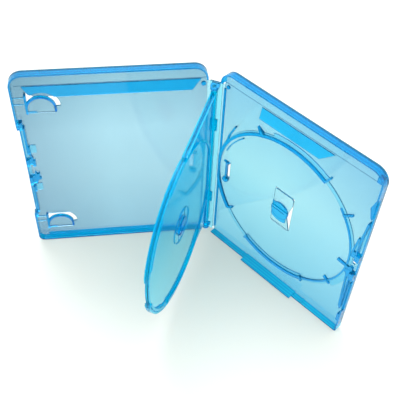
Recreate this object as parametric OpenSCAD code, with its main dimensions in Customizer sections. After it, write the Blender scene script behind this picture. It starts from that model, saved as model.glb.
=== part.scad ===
// Open case for three optical discs: two covers joined to a spine by living
// hinges, a two-sided flip tray between them and a clear outer sleeve film.
// Millimetres. +Z up along the hinges, the case stands on its bottom edges.
// Origin: middle of the spine's bottom edge, on the spine's outer face.
// +Y is outside the spine, the covers open toward -Y.

/* [Case] */
// height along the hinges
case_h = 171.5; // [168:0.5:175]
// width of one cover from its hinge line to its free edge
case_w = 134.5; // [130:0.5:140]
// outside thickness of the closed case
spine_w = 12; // [11:0.5:16]
// thickness of the flat panels
panel = 1.1; // [0.8:0.1:1.6]
// thickness of the standing rims
wall = 1.2; // [0.8:0.1:2]
// depth of each cover's rim
rim_d = 5.85; // [4:0.05:8]
// radius of the covers' upper corners
corner_r = 10; // [4:0.5:14]

/* [Pose] */
// how far the front cover stands forward of the spine's plane
front_open = 26.5; // [0:0.5:90]
// how far the back cover stands forward of the spine's plane
back_open = 25.5; // [0:0.5:90]

/* [Disc seats] */
// inner radius of the disc seat walls
seat_r = 61.2; // [60.5:0.1:62]
// back seat centre, distance from the hinge line
seat_u = 63.8; // [62:0.1:66]
// back seat centre, height
seat_z = 79; // [70:0.5:90]
// radius of the hub bosses, for a disc with a 15 mm hole
hub_r = 7.4; // [7:0.1:7.5]

/* [Flip tray] */
// tray pivot, sideways position
piv_x = 0; // [-1:0.1:1]
// tray pivot, distance in front of the spine's outer face
piv_y = 5.2; // [5:0.1:8]
// radius of the tray's round free edge
tray_r = 65; // [63:0.5:67]
// tray seat centre, distance from the pivot
tray_u = 61.9; // [60:0.1:64]
// tray seat centre, height
tray_z = 77; // [72:0.5:80]
// radius of the tray's pivot pins
pin_r = 1.6; // [1.2:0.1:2]
// running clearance around each pin
pin_gap = 0.05; // [0.01:0.01:0.1]

/* [Film] */
// thickness of the clear sleeve film
film_t = 0.15; // [0.1:0.05:0.3]
// height of the film's open upper edge
film_top = 158.8; // [150:0.2:165]

/* [Hidden] */
$fn = 128;
hx = spine_w / 2;
plate_w = 9;
plate_t = 1.2;
spine_top = 156.6;
web_t = 0.4;
tray_free = 129.9 - piv_y;
web_lo = 1.5;
web_hi = 156;
u0 = 1;
uw = 1.6;
blue = [0.10, 0.58, 0.88, 0.55];
deep = [0.04, 0.45, 0.86, 0.60];
clear = [0.92, 0.97, 1.00, 0.22];

// ---------- frames ----------
// In each cover's own frame x is the distance from the hinge line, y the depth
// from the outer face toward the inside, and z the height.
module in_front() translate([-hx, 0, 0]) rotate([0, 0, 180 + front_open]) children();
module in_back() translate([hx, 0, 0]) rotate([0, 0, -back_open]) mirror([0, 1, 0]) children();
// In the tray's frame x runs from the pivot to the free edge and y toward the front cover.
module in_tray() translate([piv_x, -piv_y, 0]) rotate([0, 0, -90]) mirror([0, 1, 0]) children();

// A flat shape drawn in (distance, height), raised from depth d0 by h.
module up(d0, h) translate([0, d0, 0]) mirror([0, 1, 0]) rotate([90, 0, 0]) linear_extrude(height = h) children();

module rect(x0, z0, x1, z1) translate([x0, z0]) square([x1 - x0, z1 - z0]);
module blk(x0, z0, x1, z1, d0, d1) translate([x0, d0, z0]) cube([x1 - x0, d1 - d0, z1 - z0]);

// A straight thin wall between two points.
module bar2(a, b, t) {
    l = norm(b - a);
    n = [-(b[1] - a[1]), b[0] - a[0]] / l * t / 2;
    polygon([a + n, b + n, b - n, a - n]);
}

// Rounded rectangle with its own radius at each corner: hinge top, free top, free bottom, hinge bottom.
module outline(x0, x1, z0, z1, ra, rb, rc, rd) {
    polygon([[x0, z1 - ra], [x0 + ra, z1], [x1 - rb, z1], [x1, z1 - rb], [x1, z0 + rc], [x1 - rc, z0], [x0 + rd, z0], [x0, z0 + rd]]);
    translate([x0 + ra, z1 - ra]) circle(r = ra);
    translate([x1 - rb, z1 - rb]) circle(r = rb);
    translate([x1 - rc, z0 + rc]) circle(r = rc);
    translate([x0 + rd, z0 + rd]) circle(r = rd);
}

// Part of a round wall between two angles.
module arc(cx, cz, r1, r2, a0, a1) translate([cx, cz]) intersection() {
    difference() { circle(r = r2); circle(r = r1); }
    polygon(concat([[0, 0]], [for (i = [0:8]) 1.6 * r2 * [cos(a0 + (a1 - a0) * i / 8), sin(a0 + (a1 - a0) * i / 8)]]));
}

// A short radial fin across a round wall.
module fin(cx, cz, r1, r2, a, t) bar2([cx + r1 * cos(a), cz + r1 * sin(a)], [cx + r2 * cos(a), cz + r2 * sin(a)], t);

// Panel with rims along its top, free and bottom edges; open toward the hinge.
module shell(rb, rc) difference() {
    up(0, rim_d) outline(u0, case_w, 0, case_h, corner_r, rb, rc, 1);
    up(panel, rim_d) outline(u0 + wall, case_w - wall, wall, case_h - wall, corner_r - wall, rb - wall, max(rc - wall, 0.8), 0.5);
    // the rim stops where the spine closes the box
    blk(-1, wall, u0 + wall + 0.1, 160.4, panel, rim_d + 1);
    blk(-1, -1, uw, wall + 0.1, panel, rim_d + 1);
}

// ---------- spine ----------
module ear(z0) difference() {
    union() {
        translate([piv_x, -piv_y, z0]) cylinder(r = 3, h = 2.5);
        translate([piv_x - 3, -piv_y, z0]) cube([6, piv_y - plate_t + 0.1, 2.5]);
    }
    translate([piv_x, -piv_y, z0 - 1]) cylinder(r = pin_r + pin_gap, h = 5);
}

module spine() color(blue) {
    translate([-plate_w / 2, -plate_t, 0]) cube([plate_w, plate_t, spine_top]);
    // ears that carry the tray's pins
    ear(153.9);
    ear(5.4);
    // gussets under the upper ear and over the lower one
    translate([piv_x - 0.6, -2.2, 149]) cube([1.2, 2.3 - plate_t, 5]);
    translate([piv_x - 0.6, -2.2, 7.8]) cube([1.2, 2.3 - plate_t, 4]);
}

// ---------- front cover ----------
// Half-round clip that holds a leaflet, over its own moulding window.
module clip(z0) {
    c = z0 + 2.2;
    // the tongue and its arched rim
    up(2.7, 0.9) union() {
        intersection() { translate([115.4, c]) circle(r = 9.9); rect(100, c - 1, 124.7, c + 12); }
        rect(105.5, z0 - 1.6, 124.7, c);
    }
    up(1.9, 2.2) intersection() { arc(115.4, c, 9.1, 10.5, 0, 180); rect(100, c - 1, 124.7, c + 12); }
    up(1.9, 1.9) rect(104.9, c - 3.4, 106.3, c + 0.4);
    // the post it hangs from
    up(panel - 0.1, 3) rect(124.4, z0 - 2.2, 126, z0 + 14);
    up(1.9, 1.4) rect(118.6, z0 - 1.7, 125, z0 - 0.5);
    // two fine ribs from the post to the rim
    up(panel - 0.1, 0.7) rect(125.6, z0 + 10.2, case_w - wall + 0.1, z0 + 10.8);
    up(panel - 0.1, 0.7) rect(125.6, z0 + 4.4, case_w - wall + 0.1, z0 + 5.0);
}
// A clip's window: round toward the hinge, straight on top at height z1.
module clip_hole(z0, z1) union() {
    intersection() { translate([114.8, z0 + 2.5]) circle(r = 12.5); rect(100, z0 + 1.8, 124.5, z1); }
    rect(117, z0 + 1.8, 124.5, z1);
    rect(106.9, z0 - 3.4, 124.5, z0 + 1.9);
}

module front_cover() color(blue) in_front() {
    difference() {
        union() {
            shell(corner_r, 5);
            // thicker band under the header, thinned over the upper clip
            difference() {
                up(panel - 0.1, 0.9) polygon([[5.4, 158.8], [126.6, 158.8], [121.8, 149.2], [11.2, 149.2]]);
                up(panel, 2) translate([115, 140.9]) circle(r = 12.3);
            }
            // step over the bottom rim
            up(panel - 0.1, 0.9) rect(3, wall - 0.1, 126.5, 4.3);
        }
        // thumb notch in the free edge
        blk(case_w - 1.4, 33, case_w + 1, 126, -1, rim_d + 1);
        blk(case_w - 4, 33, case_w - 1.3, 126, 3.4, rim_d + 1);
        // windows behind the two clips
        up(-1, 3 + panel) union() {
            clip_hole(138.6, 149.2);
            polygon([[126.6, 154], [124.5, 153.2], [119, 149.1], [119, 146], [124.5, 146], [124.5, 152]]);
        }
        up(-1, 3 + panel) clip_hole(14.8, 27.2);
    }
    clip(138.6);
    clip(14.8);
    // ends of the notch
    blk(130.2, 123.6, case_w - 0.2, 129.4, panel - 0.1, rim_d);
    blk(131.6, 29.5, case_w - 0.2, 34, panel - 0.1, rim_d);
    // inner wall behind the notch, in three lengths
    blk(129.2, 99, 130.6, 124.6, panel - 0.1, 5.2);
    blk(130.1, 34, 131.3, 63.5, panel - 0.1, 4.6);
    blk(130.2, 34, 133, 124, panel - 0.1, 1.7);
    up(panel - 0.1, 2.4) bar2([130.1, 99.6], [127.9, 92], 1);
    // notched outer lip
    blk(case_w - 2.3, 33.5, case_w - 1.4, 125.5, panel - 0.1, 3.4);
    // catches: two flat tabs, a latch block and a toothed block
    blk(124.2, 97.2, 129.4, 104.8, panel - 0.1, 1.7);
    blk(128.4, 97.4, 129.8, 104.6, panel - 0.1, 3.4);
    blk(127.6, 86.4, 130.6, 92.6, panel - 0.1, 3.4);
    blk(130.4, 86.4, 132.6, 92.6, panel - 0.1, 5.2);
    blk(126.2, 84, 128.4, 90, panel - 0.1, 2.8);
    blk(127.6, 66.5, 130.6, 74.5, panel - 0.1, 3.4);
    blk(130.4, 66.5, 132.6, 74.5, panel - 0.1, 5.4);
    up(panel - 0.1, 2.2) polygon([[128, 78.4], [126.4, 75.4], [124.6, 76.6], [125.4, 72.6], [123.9, 70.4], [126.4, 69.4], [127.2, 66.2], [129, 68]]);
    blk(124.4, 57.2, 129.8, 64.2, panel - 0.1, 1.7);
    blk(129, 57.2, 130.5, 63.4, panel - 0.1, 3.4);
    // stiffening marks along the top rim and near its hinge end
    translate([3.6, panel - 0.1, 154.4]) rotate([-90, 0, 0]) cylinder(r = 1.7, h = 1.2, $fn = 48);
    for (u = [34, 76, 112]) blk(u, case_h - wall - 0.5, u + 1.2, case_h - wall + 0.1, panel - 0.1, rim_d - 0.4);
    for (u = [30, 102]) blk(u, wall - 0.1, u + 1.2, wall + 0.4, panel - 0.1, rim_d - 0.4);
}

// ---------- back cover ----------
module back_seat() intersection() {
    c = [seat_u, seat_z];
    r1 = seat_r;
    r2 = seat_r + 2.2;
    union() {
        // low ledge all round, raised to a wall in two lengths
        up(panel - 0.1, 0.7) difference() { translate(c) circle(r = r1 + 3.2); translate(c) circle(r = r1); }
        up(panel - 0.1, 2.25) arc(c[0], c[1], r1, r2, 60.5, 218);
        up(panel - 0.1, 2.25) arc(c[0], c[1], r1, r2, 243, 298);
        up(panel - 0.1, 1.6) arc(c[0], c[1], r1, r1 + 1.3, 298, 402);
        // ledges beside the raised lengths
        up(panel - 0.1, 0.7) arc(c[0], c[1], r2 - 0.1, r2 + 3.6, 60.5, 104);
        up(panel - 0.1, 0.7) arc(c[0], c[1], r1 - 2.2, r1 + 0.1, 243, 298);
        up(panel - 0.1, 0.7) arc(c[0], c[1], r1 + 3, r1 + 6, 325, 350);
        // end tabs and fins
        up(panel - 0.1, 2.3) fin(c[0], c[1], r1 + 0.2, r2 + 6.4, 60.8, 1.4);
        up(panel - 0.1, 2.2) fin(c[0], c[1], r1 + 0.4, r2 + 6.6, 37, 1.3);
        up(panel - 0.1, 2.3) fin(c[0], c[1], r1 - 5.2, r1 + 1, 217.6, 1.4);
        up(panel - 0.1, 2.25) fin(c[0], c[1], r1 - 1.2, r2 + 1.4, 243.4, 1.6);
        up(panel - 0.1, 2.25) fin(c[0], c[1], r1 - 1.2, r2 + 1.4, 297.4, 1.6);
        up(panel - 0.1, 2.0) fin(c[0], c[1], r1 - 3.6, r2 + 1.4, 325, 1.4);
        up(panel - 0.1, 1.9) fin(c[0], c[1], r1 - 7, r1 + 0.6, 354, 1.9);
        // thorn on the upper left of the wall
        up(panel - 0.1, 2.4) polygon([[c[0] + r1 * cos(109.8), c[1] + r1 * sin(109.8)], [c[0] + (r2 + 6) * cos(115), c[1] + (r2 + 6) * sin(115)], [c[0] + r1 * cos(115), c[1] + r1 * sin(115)]]);
        // outer spur and inner spur beside the hinge
        up(panel - 0.1, 2.2) bar2([c[0] + (r1 + 0.6) * cos(157), c[1] + (r1 + 0.6) * sin(157)], [c[0] + (r2 + 1.8) * cos(146), c[1] + (r2 + 1.8) * sin(146)], 1.2);
        up(panel - 0.1, 2.2) bar2([c[0] + (r2 + 1.8) * cos(146.4), c[1] + (r2 + 1.8) * sin(146.4)], [c[0] + (r2 + 5.4) * cos(135), c[1] + (r2 + 5.4) * sin(135)], 1.2);
        up(panel - 0.1, 1.3) arc(c[0], c[1], r1 - 2.6, r1 - 1.8, 134, 160);
    }
    // clear of the spine and of the free edge's rim
    blk(uw, 2, case_w - wall + 0.1, 160, 0, 10);
}

module back_cover() color(blue) in_back() {
    difference() {
        union() {
            shell(corner_r, 2);
            up(panel - 0.1, 0.8) polygon([[35.2, 158.4], [96, 158.4], [85.5, 147.6], [33.8, 147.6]]);
            back_seat();
        }
        // the free edge is low between its two ends
        blk(case_w - wall - 0.1, 26.5, case_w + 1, 151, 2.6, rim_d + 1);
        // window around the hub tongue
        blk(seat_u - 7.9, seat_z - 17, seat_u + 9.6, seat_z + 18.2, -1, 6);
        // slot beside the hinge and opening behind the catch
        blk(9.7, 71.6, 12.4, 87.4, -1, panel + 1);
        blk(128.6, 77.6, 130.8, 82.6, -1, panel + 1);
    }
    // bracket around the slot
    blk(8.6, 70, 9.6, 87.4, panel - 0.1, 2.4);
    up(panel - 0.1, 1.9) polygon([[6.8, 88.4], [12.4, 88.4], [12.4, 87.5], [8.2, 87.5]]);
    up(panel - 0.1, 2.6) polygon([[7.4, 70.9], [12.6, 71.5], [12.2, 68.8], [9.6, 67.2], [7.2, 68.4]]);
    // step beside the hinge, broken where the seat's wall passes
    blk(1.25, 6, 2.6, 154, panel - 0.1, 2.2);
    // catches on the free edge
    up(panel - 0.1, 3.6) polygon([[case_w - wall + 0.1, 150.5], [130.2, 140], [132.3, 131.5], [case_w - wall + 0.1, 130.5]]);
    up(panel - 0.1, 4.0) bar2([132.7, 126], [130.9, 104], 1.2);
    up(panel - 0.1, 0.7) polygon([[133.2, 127], [133.2, 104], [131, 90], [126.6, 90], [128.4, 106]]);
    blk(130.4, 91.6, 131.4, 105, panel - 0.1, 5.1);
    up(panel - 0.1, 2.3) bar2([128.9, 106.6], [126.9, 90.6], 1.3);
    blk(126.6, 86, 130.6, 92, panel - 0.1, 3.3);
    blk(130.4, 86, case_w - 0.1, 92, panel - 0.1, 5.3);
    blk(126.8, 65.6, 130.6, 71.8, panel - 0.1, 3.4);
    blk(130.4, 65.6, case_w - 0.2, 71.8, panel - 0.1, 5.5);
    up(panel - 0.1, 2.2) polygon([[131, 74.6], [129, 75.9], [127.6, 73.8], [125.4, 74.4], [126.3, 70.6], [124.8, 67.4], [127, 66.4], [127.4, 62.6], [131, 65.7]]);
    blk(130.6, 27.5, 131.5, 66, panel - 0.1, 4.9);
    up(panel - 0.1, 2.2) bar2([127.6, 66.4], [129.4, 27.6], 1.2);
    up(panel - 0.1, 0.7) polygon([[127.6, 66], [129.4, 27.5], [133.2, 27.5], [133.2, 66]]);
    blk(129.4, 27.5, 131, 34, panel - 0.1, 3.2);
    blk(132.4, 27.5, 133.2, 60, panel - 0.1, 3.8);
    blk(131, 12, 133.6, 20.6, panel - 0.1, 4.6);
    blk(128.9, 162.4, 132.2, 166.6, panel - 0.1, 4.6);
    blk(case_w - wall, 26, case_w - 0.05, 28, panel - 0.1, rim_d);
    blk(case_w - wall, 149.6, case_w - 0.05, 151.4, panel - 0.1, rim_d);
    // flange that closes behind the front cover's bottom rim
    blk(39.6, wall - 0.3, 91, wall + 0.3, panel - 0.1, rim_d);
    blk(39.6, wall + 0.25, 91, wall + 1.25, panel - 0.1, 9.6);
    // fine marks on the rims
    for (u = [22.5, 58, 96.5]) blk(u, case_h - wall - 0.5, u + 1.2, case_h - wall + 0.1, panel - 0.1, rim_d - 0.3);
    for (u = [35, 99]) blk(u, wall - 0.1, u + 1.4, wall + 0.7, panel - 0.1, rim_d - 0.3);
    // small boss near the upper hinge corner
    translate([4.6, panel - 0.1, 156.6]) rotate([-90, 0, 0]) cylinder(r = 1.5, h = 1.2, $fn = 48);
}

// ---------- hubs ----------
// Sprung tongue with a split round boss; it sinks when it is pressed.
module back_hub() color(deep) in_back() {
    up(0.9, 1.0) translate([seat_u, seat_z]) polygon([[-6.6, -16.85], [8.2, -16.85], [9.3, -15.2], [6.3, -4], [6.3, -1], [9.3, 10.5], [9.45, 16.4], [8.2, 18.05], [-6.4, 18.05], [-7.65, 16.8], [-7.65, -15.8]]);
    up(1.8, 0.7) translate([seat_u, seat_z]) intersection() { circle(r = 11.4); rect(-7.5, -12, 5.9, 5.4); }
    difference() {
        up(1.8, 1.7) translate([seat_u, seat_z]) circle(r = hub_r);
        blk(seat_u - 9, seat_z + 2.4, seat_u + 9, seat_z + 5.0, 2.6, 5);
        blk(seat_u - 9, seat_z - 0.35, seat_u + 4.5, seat_z + 0.35, 2.7, 5);
    }
    // shoulder bead that the disc snaps over
    up(2.9, 0.5) difference() {
        translate([seat_u, seat_z]) circle(r = hub_r + 0.25);
        translate([seat_u, seat_z]) circle(r = hub_r - 0.5);
        translate([seat_u, seat_z]) rect(-9, 2.4, 9, 5.0);
        translate([seat_u, seat_z]) rect(-9, -0.35, 4.5, 0.35);
    }
}

module tray_hub() color(deep) in_tray() {
    up(-0.5, 1.0) rect(tray_u - 5.2, tray_z - 12.95, tray_u + 5.2, tray_z + 12.4);
    for (s = [-1, 1]) {
        difference() {
            up(s > 0 ? 0.4 : -2.2, 1.8) translate([tray_u, tray_z]) circle(r = hub_r);
            blk(tray_u - 9, tray_z + s * 2 - 1, tray_u + 9, tray_z + s * 2 + 1, s > 0 ? 0.6 : -3, s > 0 ? 3 : -0.6);
        }
    }
}

// ---------- flip tray ----------
module tray_face() {
    c = [tray_u, tray_z];
    r1 = seat_r;
    r2 = seat_r + 1.7;
    // one side's seat wall: low all round, raised in four lengths
    up(0.4, 1.0) difference() { translate(c) circle(r = r2); translate(c) circle(r = r1); }
    up(0.4, 1.8) arc(c[0], c[1], r1, r2, 66, 118);
    up(0.4, 1.8) arc(c[0], c[1], r1, r2, 20, 52);
    up(0.4, 1.8) arc(c[0], c[1], r1, r2, -52, -14);
    up(0.4, 1.8) arc(c[0], c[1], r1, r2, 232, 298);
    // outer rim of the flange
    up(0.4, 1.4) arc(c[0], c[1], tray_r - 1.2, tray_r, -72, 90);
    up(0.4, 1.4) arc(c[0], c[1], tray_r - 1.2, tray_r, 262, 288);
    // thicker corner above the seat
    up(0.4, 0.5) difference() {
        polygon([[2.4, 104], [2.4, 149.6], [9, 149.9], [52, 141.8], [52, 138.4], [30, 126], [8, 104]]);
        translate(c) circle(r = r1 + 1.1);
    }
    for (a = [52, 20, -14, -52, 66, 298]) up(0.4, 1.7) fin(c[0], c[1], r1 + 0.3, tray_r - 0.4, a, 1.1);
    // fine ridge around the hub
    up(0.4, 0.6) difference() { translate(c) circle(r = 14.3); translate(c) circle(r = 13.7); }
}

module tray_profile() {
    translate([tray_u, tray_z]) circle(r = tray_r);
    polygon([[-1.8, 14.5], [14, 16], [tray_u - 16, tray_z - 62.9], [tray_u, tray_z], [tray_u - 3, tray_z + tray_r - 0.1], [9, 151.6], [-1.8, 151.6]]);
}

module flip_tray() color(blue) in_tray() {
    difference() {
        union() {
            up(-0.5, 1.0) tray_profile();
            tray_face();
            mirror([0, 1, 0]) tray_face();
            // rim along the slanted top edge
            up(-1.9, 3.8) bar2([3, 150.8], [tray_u - 4, tray_z + tray_r - 0.8], 1.1);
            // rib beside the hinge beam
            up(-1.4, 2.8) rect(4.6, 15, 5.4, 148);
        }
        // opening around the hub tongue
        up(-3, 6) union() {
            rect(tray_u - 6.2, tray_z - 13, tray_u + 6.2, tray_z + 13.4);
            translate([tray_u, tray_z]) circle(r = hub_r + 0.6);
        }
        // straight cuts along the hinge and the free edge
        blk(-20, -20, -1.8, 200, -4, 4);
        blk(tray_free, -20, tray_free + 20, 200, -4, 4);
    }
    // hinge beam
    up(-2.1, 4.2) rect(-1.8, 14.5, 1.6, 151.6);
    // pivot pins
    translate([0, 0, 5.6]) cylinder(r = pin_r, h = 10, $fn = 64);
    translate([0, 0, 150]) cylinder(r = pin_r, h = 6.2, $fn = 64);
    // two half-round stops on the hinge beam
    for (z = [121, 44]) translate([-0.6, -2.0, z]) rotate([0, 90, 0]) intersection() {
        cylinder(r = 5.4, h = 1.2, $fn = 64);
        translate([-6, -1.8, -1]) cube([12, 3, 4]);
    }
}

// ---------- living hinges ----------
// Thin strips that bend; each is drawn at its open angle.
module web(a) {
    g = 0.02;
    linear_extrude(height = web_hi - web_lo) polygon([
        [hx - plate_w / 2, 0], [0, 0], [-(u0 - g) * cos(a), -(u0 - g) * sin(a)],
        [-(u0 - g) * cos(a) + web_t * sin(a), -(u0 - g) * sin(a) - web_t * cos(a)],
        [web_t * tan(a / 2), -web_t], [hx - plate_w / 2, -web_t]]);
}
module front_hinge_web() color(blue) translate([-hx, 0, web_lo]) web(front_open);
module back_hinge_web() color(blue) translate([hx, 0, web_lo]) mirror([1, 0, 0]) web(back_open);

// ---------- clear sleeve ----------
module sleeve_cover() up(-film_t, film_t) rect(u0 + 0.4, 1.6, case_w - 3, film_top);
module sleeve_front() color(clear) in_front() sleeve_cover();
module sleeve_back() color(clear) in_back() sleeve_cover();
module sleeve_spine() color(clear) translate([-plate_w / 2, 0, 1.6]) cube([plate_w, film_t, film_top - 1.6]);

spine();
front_cover();
back_cover();
flip_tray();
back_hub();
tray_hub();
front_hinge_web();
back_hinge_web();
sleeve_front();
sleeve_spine();
sleeve_back();
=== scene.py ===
import bpy
import bmesh
import math
from mathutils import Matrix, Vector


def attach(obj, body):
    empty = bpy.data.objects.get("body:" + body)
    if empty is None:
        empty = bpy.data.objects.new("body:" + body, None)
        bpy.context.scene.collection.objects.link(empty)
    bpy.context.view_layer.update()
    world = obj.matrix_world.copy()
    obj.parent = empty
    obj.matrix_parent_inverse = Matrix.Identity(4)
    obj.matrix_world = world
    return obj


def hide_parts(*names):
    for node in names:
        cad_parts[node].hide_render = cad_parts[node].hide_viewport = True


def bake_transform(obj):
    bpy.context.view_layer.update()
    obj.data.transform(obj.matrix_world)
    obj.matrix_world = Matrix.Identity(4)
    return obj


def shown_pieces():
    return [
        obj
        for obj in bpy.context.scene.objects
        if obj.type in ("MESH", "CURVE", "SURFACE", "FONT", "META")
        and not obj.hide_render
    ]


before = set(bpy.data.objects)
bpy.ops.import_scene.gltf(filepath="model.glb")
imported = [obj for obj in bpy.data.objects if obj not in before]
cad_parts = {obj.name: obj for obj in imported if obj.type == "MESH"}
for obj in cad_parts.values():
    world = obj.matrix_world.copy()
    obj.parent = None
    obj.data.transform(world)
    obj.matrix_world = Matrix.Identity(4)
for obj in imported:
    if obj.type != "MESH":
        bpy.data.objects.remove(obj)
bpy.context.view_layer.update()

scene = bpy.context.scene

# ------------------------------------------------------------------ sizes, metres
MM = 0.001
HX = 6.0            # hinge lines at x = -6 and +6 mm
A_F = math.radians(26.5)
A_B = math.radians(25.5)


def front(u, d, z):
    """A point of the front cover: distance from its hinge line, depth from its outer face, height."""
    return Vector((-HX - u * math.cos(A_F) + d * math.sin(A_F), -u * math.sin(A_F) - d * math.cos(A_F), z)) * MM


def back(u, d, z):
    return Vector((HX + u * math.cos(A_B) - d * math.sin(A_B), -u * math.sin(A_B) - d * math.cos(A_B), z)) * MM


# ------------------------------------------------------------------ node helpers
def new_mat(name):
    m = bpy.data.materials.new(name)
    m.use_nodes = True
    nt = m.node_tree
    nt.nodes.clear()
    return m, nt


def link(nt, a, b):
    nt.links.new(a, b)


def node(nt, kind, **props):
    n = nt.nodes.new(kind)
    for k, v in props.items():
        setattr(n, k, v)
    return n


# ------------------------------------------------------------------ materials
def math_node(nt, op, *vals, clamp=False):
    """A Math node whose inputs are sockets or numbers."""
    n = node(nt, "ShaderNodeMath", operation=op)
    n.use_clamp = clamp
    for i, v in enumerate(vals):
        if isinstance(v, (int, float)):
            n.inputs[i].default_value = v
        else:
            link(nt, v, n.inputs[i])
    return n.outputs[0]


def tinted_plastic(name, panel, steps, side_tint, face, absorb=(0.04, 0.008, 0.001), rough=(0.03, 0.09), side_rough=0.18, bump=0.012, ior=1.49, trans=0.86, thick=None, shade_fade=None, pale=None, painted_floor_light=None, foot_trans=0.50, painted_band_mm=2.3, ring=None):
    """Clear moulded plastic, dyed through. panel tints the flat sheet. steps = [(height in mm, tint), ...] tint what
    rises past each height, and side_tint every standing face, which is less polished; painted_floor_light is a lighter
    tint painted on the standing faces near the floor, as painted light from the floor. face = (depth direction, a point
    on the outer face, True to measure both ways). shade_fade = (point, axis, from mm, to mm, tint) is painted shade
    that deepens the sheet along an axis.
    pale = (point, axis, from mm, to mm, depth from, depth to) keeps a raised tongue as light as the sheet.
    trans, thick and foot_trans are how clear the sheet, the thick parts and the rims near the floor are.
    painted_band_mm is the spacing in mm of painted highlight and shade lines along a rim, standing in for the light and
    dark lines that refraction draws in a clear rim.
    ring = (centre, radius in mm, tint) tints the ledge that lies beyond a radius in the y-z plane."""
    m, nt = new_mat(name)
    out = node(nt, "ShaderNodeOutputMaterial")
    p = node(nt, "ShaderNodeBsdfPrincipled")
    p.inputs["Transmission Weight"].default_value = trans
    p.inputs["IOR"].default_value = ior
    p.inputs["Specular Tint"].default_value = (0.45, 0.82, 1.0, 1)
    tc = node(nt, "ShaderNodeTexCoord")
    at = tc.outputs["Object"]

    def noise(scale, detail=3.0, rough_=0.5):
        n = node(nt, "ShaderNodeTexNoise")
        n.inputs["Scale"].default_value = scale
        n.inputs["Detail"].default_value = detail
        n.inputs["Roughness"].default_value = rough_
        link(nt, at, n.inputs["Vector"])
        return n.outputs["Fac"]

    def span(value, lo, hi, to_lo=0.0, to_hi=1.0):
        r = node(nt, "ShaderNodeMapRange")
        for k, v in (("From Min", lo), ("From Max", hi), ("To Min", to_lo), ("To Max", to_hi)):
            r.inputs[k].default_value = v
        link(nt, value, r.inputs["Value"])
        return r.outputs["Result"]

    def along(point, axis):
        """Distance in mm from point along axis."""
        vs = node(nt, "ShaderNodeVectorMath", operation="SUBTRACT")
        link(nt, at, vs.inputs[0])
        vs.inputs[1].default_value = point
        vd = node(nt, "ShaderNodeVectorMath", operation="DOT_PRODUCT")
        link(nt, vs.outputs["Vector"], vd.inputs[0])
        vd.inputs[1].default_value = [c * 1000 for c in axis]
        return vd.outputs["Value"]

    def mix(fac, a, b, blend="MIX"):
        x = node(nt, "ShaderNodeMix", data_type="RGBA", blend_type=blend)
        if isinstance(fac, (int, float)):
            x.inputs["Factor"].default_value = fac
        else:
            link(nt, fac, x.inputs["Factor"])
        for k, v in (("A", a), ("B", b)):
            if isinstance(v, tuple):
                x.inputs[k].default_value = (*v, 1)
            else:
                link(nt, v, x.inputs[k])
        return x.outputs["Result"]

    # uneven polish: mottling from the mould, finest where the sheet is flat
    gloss = span(noise(38.0, 5.0, 0.55), 0.32, 0.72, rough[0], rough[1])
    b = node(nt, "ShaderNodeBump")
    b.inputs["Strength"].default_value = bump
    b.inputs["Distance"].default_value = 0.0004
    link(nt, noise(900.0, 2.0), b.inputs["Height"])
    link(nt, b.outputs["Normal"], p.inputs["Normal"])
    # slow drift of the dye through the sheet
    colour = mix(noise(9.0), tuple(c * 0.94 for c in panel), tuple(min(1.0, c * 1.04) for c in panel))
    # painted shade: each shade_fade deepens the sheet's tint along an axis, towards where less light comes through the
    # sheet
    for point, axis, lo, hi, tint in shade_fade or ():
        colour = mix(span(along(point, axis), lo, hi), colour, mix(1.0, colour, tint, "MULTIPLY"))
    if ring is not None:
        centre, radius, tint = ring
        vs = node(nt, "ShaderNodeVectorMath", operation="SUBTRACT")
        link(nt, at, vs.inputs[0])
        vs.inputs[1].default_value = centre
        flat = node(nt, "ShaderNodeVectorMath", operation="MULTIPLY")
        link(nt, vs.outputs["Vector"], flat.inputs[0])
        flat.inputs[1].default_value = (0, 1000, 1000)
        far = node(nt, "ShaderNodeVectorMath", operation="LENGTH")
        link(nt, flat.outputs["Vector"], far.inputs[0])
        colour = mix(span(far.outputs["Value"], radius - 0.25, radius + 0.25), colour, tint)
    clear = None
    if face is not None:
        direction, start, both = face
        depth = along(start, direction)
        if both:
            depth = math_node(nt, "ABSOLUTE", depth)
        sheet = colour
        if thick is not None and steps:
            clear = span(math_node(nt, "GREATER_THAN", depth, steps[0][0]), 0, 1, trans, thick)
        for height, tint in steps:
            colour = mix(math_node(nt, "GREATER_THAN", depth, height), colour, tint)
        if pale is not None:
            point, axis, lo, hi, d_lo, d_hi = pale
            u = along(point, axis)
            inside = math_node(nt, "MULTIPLY", math_node(nt, "GREATER_THAN", u, lo), math_node(nt, "LESS_THAN", u, hi))
            level = math_node(nt, "MULTIPLY", math_node(nt, "GREATER_THAN", depth, d_lo), math_node(nt, "LESS_THAN", depth, d_hi))
            colour = mix(math_node(nt, "MULTIPLY", inside, level), colour, sheet)
        nd = node(nt, "ShaderNodeVectorMath", operation="DOT_PRODUCT")
        link(nt, tc.outputs["Normal"], nd.inputs[0])
        nd.inputs[1].default_value = direction
        side = math_node(nt, "LESS_THAN", math_node(nt, "ABSOLUTE", nd.outputs["Value"]), 0.7)
        standing = side_tint
        if painted_floor_light is not None:
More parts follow.
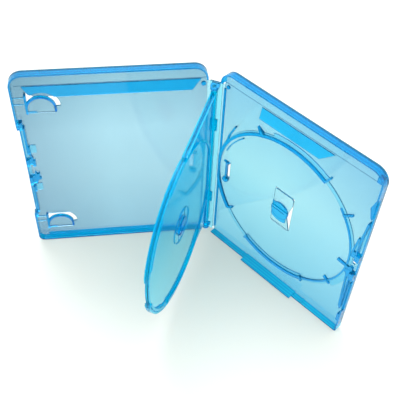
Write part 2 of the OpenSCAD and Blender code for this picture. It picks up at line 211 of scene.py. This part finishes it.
            # painted light: the rims within 7 mm of the floor take a lighter tint, standing in for the light from the
            # floor that they carry; they are also less clear there, so they scatter more of that light
            low = math_node(nt, "LESS_THAN", along((0, 0, 0), (0, 0, 1)), 7.0)
            standing = mix(low, side_tint, painted_floor_light)
            clear = span(math_node(nt, "MULTIPLY", low, side), 0, 1, trans, foot_trans)
        # painted highlight and painted shade: lighter and darker copies of the standing tint in lines along each rim,
        # standing in for light refracted in a clear rim
        painted_band_wave = math_node(nt, "SINE", math_node(nt, "MULTIPLY", depth, 2 * math.pi / painted_band_mm))
        painted_band_wave = span(painted_band_wave, -0.7, 0.7)
        lit = mix(painted_band_wave, mix(1.0, standing, (0.70, 0.80, 0.96), "MULTIPLY"), mix(1.0, standing, (1.0, 1.22, 1.03), "MULTIPLY"))
        colour = mix(side, colour, lit)
        gloss = math_node(nt, "MAXIMUM", gloss, math_node(nt, "MULTIPLY", side, side_rough))
    if clear is not None:
        link(nt, clear, p.inputs["Transmission Weight"])
    link(nt, gloss, p.inputs["Roughness"])
    link(nt, colour, p.inputs["Base Color"])
    v = node(nt, "ShaderNodeVolumeAbsorption")
    density = max(absorb) * 1000 / 0.999
    v.inputs["Color"].default_value = (*[1 - a * 1000 / density for a in absorb], 1)
    v.inputs["Density"].default_value = density
    link(nt, p.outputs["BSDF"], out.inputs["Surface"])
    link(nt, v.outputs["Volume"], out.inputs["Volume"])
    return m


def clear_film(name):
    m, nt = new_mat(name)
    out = node(nt, "ShaderNodeOutputMaterial")
    p = node(nt, "ShaderNodeBsdfPrincipled")
    p.inputs["Base Color"].default_value = (1, 1, 1, 1)
    p.inputs["Transmission Weight"].default_value = 1.0
    p.inputs["IOR"].default_value = 1.25
    tc = node(nt, "ShaderNodeTexCoord")
    n1 = node(nt, "ShaderNodeTexNoise")
    n1.inputs["Scale"].default_value = 26.0
    n1.inputs["Detail"].default_value = 4.0
    link(nt, tc.outputs["Object"], n1.inputs["Vector"])
    mr = node(nt, "ShaderNodeMapRange")
    mr.inputs["From Min"].default_value = 0.3
    mr.inputs["From Max"].default_value = 0.75
    mr.inputs["To Min"].default_value = 0.02
    mr.inputs["To Max"].default_value = 0.09
    link(nt, n1.outputs["Fac"], mr.inputs["Value"])
    link(nt, mr.outputs["Result"], p.inputs["Roughness"])
    link(nt, p.outputs["BSDF"], out.inputs["Surface"])
    return m


LIGHT = (0.12, 0.60, 0.90)      # low ledges
MID = (0.0008, 0.29, 0.81)       # the thick bands
TOP = (0.0004, 0.25, 0.79)       # tops of the walls
DEEP = (0.0008, 0.47, 0.93)      # rims and standing faces
D_F = (math.sin(A_F), -math.cos(A_F), 0)
D_B = (-math.sin(A_B), -math.cos(A_B), 0)
U_F = (-math.cos(A_F), -math.sin(A_F), 0)
U_B = (math.cos(A_B), -math.sin(A_B), 0)
H_F, H_B = (-HX * MM, 0, 0), (HX * MM, 0, 0)
front_mat = tinted_plastic(
    "case_blue_front", (0.46, 0.72, 0.86), [(1.3, LIGHT), (1.8, MID), (2.15, TOP)], DEEP, (D_F, H_F, False),
    shade_fade=[(H_F, (0, 0, 1), 115, 165, (0.62, 0.72, 0.76)), (H_F, U_F, 70, 130, (0.65, 0.68, 0.73)), (H_F, (0, 0, 1), 70, 5, (0.86, 0.94, 1.0))],
    pale=(H_F, U_F, 104, 124.4, 2.6, 3.7), painted_floor_light=(0.001, 0.56, 0.97))
back_mat = tinted_plastic(
    "case_blue_back", (0.50, 0.88, 1.0), [(1.3, LIGHT), (1.75, (0.003, 0.42, 0.97)), (2.15, TOP)], DEEP, (D_B, H_B, False),
    shade_fade=[(H_B, (0, 0, 1), 95, 165, (0.60, 0.72, 0.84)), (H_B, (0, 0, 1), 105, 5, (0.58, 0.86, 1.0)), (H_B, U_B, 55, 134, (0.80, 0.88, 0.95))],
    painted_floor_light=(0.02, 0.62, 0.97), foot_trans=0.26)
tray_mat = tinted_plastic(
    "case_blue_tray", (0.22, 0.82, 1.0), [(0.7, (0.001, 0.62, 1.0)), (1.0, (0.001, 0.76, 1.0))], (0.001, 0.68, 1.0),
    ((1, 0, 0), (0, 0, 0), True), trans=0.93, thick=0.72, shade_fade=[((0, 0, 0), (0, 0, 1), 60, 120, (0.32, 0.88, 1.0))], painted_band_mm=1.3, ior=1.26,
    ring=((0, -0.06710, 0.077), 60.0, (0.02, 0.62, 1.0)))
spine_mat = tinted_plastic(
    "case_blue_spine", (0.30, 0.80, 1.0), [(2.0, (0.002, 0.58, 1.0))], (0.003, 0.50, 0.96), ((0, -1, 0), (0, 0, 0), False),
    trans=0.92, thick=0.75)
hub_mat = tinted_plastic(
    "hub_blue", (0.48, 0.86, 0.99), [(2.1, (0.0006, 0.40, 0.95))], DEEP, (D_B, H_B, False), thick=0.75)
tray_hub_mat = tinted_plastic(
    "tray_hub_blue", (0.14, 0.74, 1.0), [(0.7, DEEP)], DEEP, ((1, 0, 0), (0, 0, 0), True))
# painted shade: the film's fold is clear, and its dark blue here paints the dark line the fold shows
hem_shade_mat = tinted_plastic(
    "film_hem", (0.14, 0.42, 0.64), [], (0.14, 0.42, 0.64), None, absorb=(0.001, 0.001, 0.001), trans=0.86, ior=1.25)
film_mat = clear_film("film_clear")

MATS = {"front_cover": front_mat, "back_cover": back_mat, "flip_tray": tray_mat, "back_hub": hub_mat, "tray_hub": tray_hub_mat}
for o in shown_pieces():
    o.data.materials.clear()
    o.data.materials.append(MATS.get(o.name, spine_mat))


# ------------------------------------------------------------------ clear sleeve
FILM_LO, FILM_HI = 1.6, 158.4
GAP, FILM = 0.10, 0.12


def plate(name, a, b, n, cuts=1, lo=FILM_LO, hi=FILM_HI, rows=24, mat=None):
    """A thin upright sheet from point a to point b (at z = 0), standing off along n."""
    verts, faces = [], []
    zs = [lo + (hi - lo) * i / rows for i in range(rows + 1)]
    cols = [a + (b - a) * i / cuts for i in range(cuts + 1)]
    for c in cols:
        for z in zs:
            base = Vector((c.x, c.y, z))
            verts.append((base + n * GAP) * MM)
            verts.append((base + n * (GAP + FILM)) * MM)
    nz = len(zs)

    def vi(i, k, s):
        return (i * nz + k) * 2 + s

    for i in range(cuts):
        for k in range(nz - 1):
            faces.append((vi(i, k, 0), vi(i, k + 1, 0), vi(i + 1, k + 1, 0), vi(i + 1, k, 0)))
            faces.append((vi(i, k, 1), vi(i + 1, k, 1), vi(i + 1, k + 1, 1), vi(i, k + 1, 1)))
    for i in range(cuts):
        faces.append((vi(i, 0, 0), vi(i + 1, 0, 0), vi(i + 1, 0, 1), vi(i, 0, 1)))
        faces.append((vi(i, nz - 1, 0), vi(i, nz - 1, 1), vi(i + 1, nz - 1, 1), vi(i + 1, nz - 1, 0)))
    for k in range(nz - 1):
        faces.append((vi(0, k, 0), vi(0, k, 1), vi(0, k + 1, 1), vi(0, k + 1, 0)))
        faces.append((vi(cuts, k, 0), vi(cuts, k + 1, 0), vi(cuts, k + 1, 1), vi(cuts, k, 1)))
    me = bpy.data.meshes.new(name)
    me.from_pydata([tuple(v) for v in verts], [], faces)
    me.materials.append(mat or film_mat)
    ob = bpy.data.objects.new(name, me)
    scene.collection.objects.link(ob)
    bm = bmesh.new()
    bm.from_mesh(me)
    bmesh.ops.recalc_face_normals(bm, faces=bm.faces)
    bm.to_mesh(me)
    bm.free()
    return ob


nf = Vector((-math.sin(A_F), math.cos(A_F), 0))
nb = Vector((math.sin(A_B), math.cos(A_B), 0))
f0, f1 = front(1.4, 0, 0) / MM, front(131.5, 0, 0) / MM
b0, b1 = back(1.4, 0, 0) / MM, back(131.5, 0, 0) / MM
film_f = plate("film_front", f0, f1, nf, 6)
film_b = plate("film_back", b0, b1, nb, 6)
film_s = plate("film_spine", Vector((-4.5, 0, 0)), Vector((4.5, 0, 0)), Vector((0, 1, 0)), 2)
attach(film_f, "front_body")
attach(film_b, "back_body")
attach(film_s, "spine_body")
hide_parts("sleeve_front")
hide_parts("sleeve_back")
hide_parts("sleeve_spine")
# the film's folded upper edge: a real fold, drawn as a thin strip whose dark blue is painted shade for the fine dark
# line it shows across each cover
hem_f = plate("film_hem_front", f0, f1, nf, 6, 158.42, 158.84, 1, hem_shade_mat)
hem_b = plate("film_hem_back", b0, b1, nb, 6, 158.42, 158.84, 1, hem_shade_mat)
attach(hem_f, "front_body")
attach(hem_b, "back_body")

# ------------------------------------------------------------------ across the hinges
def strip(name, path, lo, hi, rows, inner, outer, mat):
    """A thin upright strip along path = [(point, outward normal), ...] in mm, between two offsets along the normals."""
    verts, faces = [], []
    zs = [lo + (hi - lo) * i / rows for i in range(rows + 1)]
    for q, n in path:
        for z in zs:
            base = Vector((q.x, q.y, z))
            verts.append((base + n * inner) * MM)
            verts.append((base + n * outer) * MM)
    nz, nc = len(zs), len(path)

    def vi(i, k, side):
        return (i * nz + k) * 2 + side

    for i in range(nc - 1):
        for k in range(nz - 1):
            faces.append((vi(i, k, 0), vi(i, k + 1, 0), vi(i + 1, k + 1, 0), vi(i + 1, k, 0)))
            faces.append((vi(i, k, 1), vi(i + 1, k, 1), vi(i + 1, k + 1, 1), vi(i, k + 1, 1)))
        faces.append((vi(i, 0, 0), vi(i + 1, 0, 0), vi(i + 1, 0, 1), vi(i, 0, 1)))
        faces.append((vi(i, nz - 1, 0), vi(i, nz - 1, 1), vi(i + 1, nz - 1, 1), vi(i + 1, nz - 1, 0)))
    for k in range(nz - 1):
        faces.append((vi(0, k, 0), vi(0, k, 1), vi(0, k + 1, 1), vi(0, k + 1, 0)))
        faces.append((vi(nc - 1, k, 0), vi(nc - 1, k + 1, 0), vi(nc - 1, k + 1, 1), vi(nc - 1, k, 1)))
    me = bpy.data.meshes.new(name)
    me.from_pydata([tuple(v) for v in verts], [], faces)
    me.materials.append(mat)
    ob = bpy.data.objects.new(name, me)
    scene.collection.objects.link(ob)
    bm = bmesh.new()
    bm.from_mesh(me)
    bmesh.ops.recalc_face_normals(bm, faces=bm.faces)
    bm.to_mesh(me)
    bm.free()
    return ob


def hinge_path(s, cover, normal, x0, u1):
    """Outer face from the spine's edge round the hinge line to u1 on a cover; s is -1 for the front, +1 for the back."""
    up_ = Vector((0, 1, 0))
    pts = []
    for t in (0.0, 0.35, 0.7):
        pts.append((Vector((s * (x0 + (HX - 0.35 - x0) * t / 0.7), 0, 0)), up_.copy()))
    bend = [(0.2, 0.25), (0.5, 0.5), (0.8, 0.75)]
    a_, b_ = Vector((s * (HX - 0.35), 0, 0)), cover(0.35, 0, 0) / MM
    corner = Vector((s * HX, 0, 0))
    for w, k in bend:
        q = a_ * (1 - w) ** 2 + corner * 2 * w * (1 - w) + b_ * w ** 2
        pts.append((q, up_.lerp(normal, k).normalized()))
    for t in (0.0, 0.5, 1.0):
        pts.append((cover(0.35 + (u1 - 0.35) * t, 0, 0) / MM, normal.copy()))
    return pts


web_mat = tinted_plastic("case_blue_web", (0.45, 0.84, 1.0), [], (0.45, 0.84, 1.0), None)
for s_, cover_, n_, side_ in ((-1, front, nf, "front"), (1, back, nb, "back")):
    web = strip("hinge_web_" + side_, hinge_path(s_, cover_, n_, 4.52, 0.98), 1.5, 156.0, 12, -0.4, -0.01, web_mat)
    skin = strip("film_hinge_" + side_, hinge_path(s_, cover_, n_, 4.52, 1.38), FILM_LO, FILM_HI, 12, GAP, GAP + FILM, film_mat)
    for piece in (web, skin):
        tuple(cover_(0.8, 0, 80))
        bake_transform(piece)
    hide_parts(side_ + "_hinge_web")

# ------------------------------------------------------------------ camera
YAW, PITCH, ROLL = -0.30358, 0.85195, 0.05293
FOCAL_PX = 719.23
F = Vector((math.sin(YAW) * math.cos(PITCH), math.cos(YAW) * math.cos(PITCH), -math.sin(PITCH)))
R = Vector((math.cos(YAW), -math.sin(YAW), 0))
U = R.cross(F)
R2 = math.cos(ROLL) * R + math.sin(ROLL) * U
U2 = -math.sin(ROLL) * R + math.cos(ROLL) * U
cam_data = bpy.data.cameras.new("camera")
cam = bpy.data.objects.new("camera", cam_data)
scene.collection.objects.link(cam)
cam_data.sensor_width = 36.0
cam_data.lens = FOCAL_PX / 400 * 36.0
cam_data.clip_start = 0.01
cam_data.clip_end = 20
cam.matrix_world = Matrix((
    (R2.x, U2.x, -F.x, 0.10852),
    (R2.y, U2.y, -F.y, -0.37111),
    (R2.z, U2.z, -F.z, 0.47364),
    (0, 0, 0, 1)))
scene.camera = cam

# ------------------------------------------------------------------ floor and light
fm, nt = new_mat("floor")
out = node(nt, "ShaderNodeOutputMaterial")
p = node(nt, "ShaderNodeBsdfPrincipled")
p.inputs["Base Color"].default_value = (0.54, 0.54, 0.525, 1)
# a lit table: the sheet glows a little from below, so the shadow stays pale
p.inputs["Emission Color"].default_value = (0.87, 1.0, 0.84, 1)
p.inputs["Emission Strength"].default_value = 0.29
p.inputs["Roughness"].default_value = 0.55
p.inputs["Specular IOR Level"].default_value = 0.2
link(nt, p.outputs["BSDF"], out.inputs["Surface"])
me = bpy.data.meshes.new("floor")
s = 3.0
me.from_pydata([(-s, -s, -0.0003), (s, -s, -0.0003), (s, s, -0.0003), (-s, s, -0.0003)], [], [(0, 1, 2, 3)])
floor = bpy.data.objects.new("floor", me)
scene.collection.objects.link(floor)
me.materials.append(fm)

world = bpy.data.worlds.new("world")
scene.world = world
world.use_nodes = True
bg = world.node_tree.nodes["Background"]
bg.inputs["Color"].default_value = (1, 1, 1, 1)
bg.inputs["Strength"].default_value = 1.3


def area(name, loc, target, size, power):
    d = bpy.data.lights.new(name, "AREA")
    d.shape = "RECTANGLE"
    d.size, d.size_y = size
    d.energy = power
    o = bpy.data.objects.new(name, d)
    scene.collection.objects.link(o)
    o.location = loc
    o.rotation_euler = (Vector(target) - Vector(loc)).to_track_quat("-Z", "Y").to_euler()
    return o


area("key", (-0.5, 0.5, 1.3), (0, -0.05, 0.05), (0.7, 0.7), 9.0)
area("top", (0.1, -0.2, 1.6), (0, -0.05, 0.0), (1.6, 1.6), 8.0)

scene.view_settings.view_transform = "Standard"
scene.cycles.use_denoising = True
scene.cycles.max_bounces = 64
scene.cycles.transmission_bounces = 64
scene.cycles.glossy_bounces = 8
scene.cycles.transparent_max_bounces = 32
scene.cycles.caustics_refractive = True
scene.cycles.caustics_reflective = False
scene.cycles.sample_clamp_indirect = 6.0
